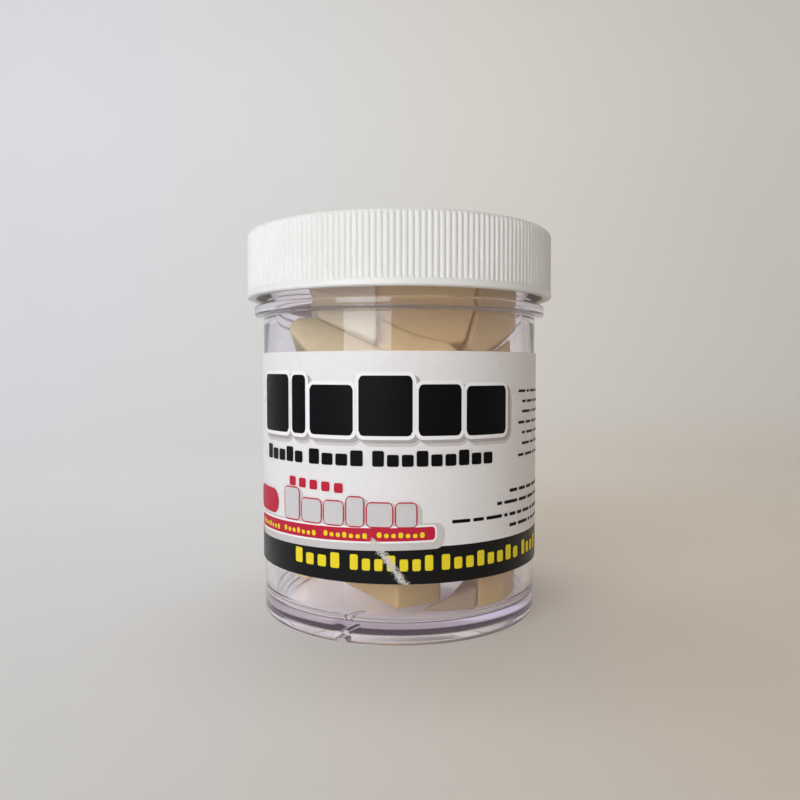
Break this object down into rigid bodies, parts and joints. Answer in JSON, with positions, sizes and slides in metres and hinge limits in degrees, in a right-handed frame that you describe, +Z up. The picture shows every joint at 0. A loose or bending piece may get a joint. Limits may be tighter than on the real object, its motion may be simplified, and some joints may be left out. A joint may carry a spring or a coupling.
{
  "type": "screw-top jar of detailing clay",
  "caption": "Clear straight-sided jar with a ribbed white screw cap, a wrap label and cut pieces of cream detailing clay inside.",
  "frame": {"origin": "centre of the foot ring's underside", "axes": "+Z up through the cap, -Y towards the front of the label, +X to the right seen from the front"},
  "size_m": [0.061, 0.061, 0.0745],
  "materials": {
    "clear_styrene": "clear, polished",
    "white_polypropylene": "satin, moulded",
    "liner_foam": "matt foam sheet",
    "label_paper": "coated, printed",
    "clay": "soft, matt, cut by knife"
  },
  "bodies": {
    "jar": {"jar_body": "clear_styrene", "wrap_label": "label_paper", "clay_upper_left": "clay", "clay_top_left": "clay", "clay_top_middle": "clay", "clay_centre": "clay", "clay_top_right": "clay", "clay_right": "clay", "clay_back": "clay", "clay_lower_left": "clay", "clay_lower_middle": "clay", "clay_lower_wedge": "clay", "clay_lower_right": "clay"},
    "liner": {"cap_liner": "liner_foam"},
    "cap": {"screw_cap": "white_polypropylene"}
  },
  "joints": [
    {"name": "cap_lift", "type": "slide", "parent": "jar", "child": "liner", "axis": [0, 0, 1], "range_m": [0, 0.01694]},
    {"name": "cap_turn", "type": "hinge", "parent": "liner", "child": "cap", "pos_m": [0, 0, 0.0605], "axis": [0, 0, 1], "range_deg": [0, 1440]}
  ],
  "couplings": [
    {"joint": "cap_lift", "follows": "cap_turn", "m_per_rad": 0.00067375}
  ]
}
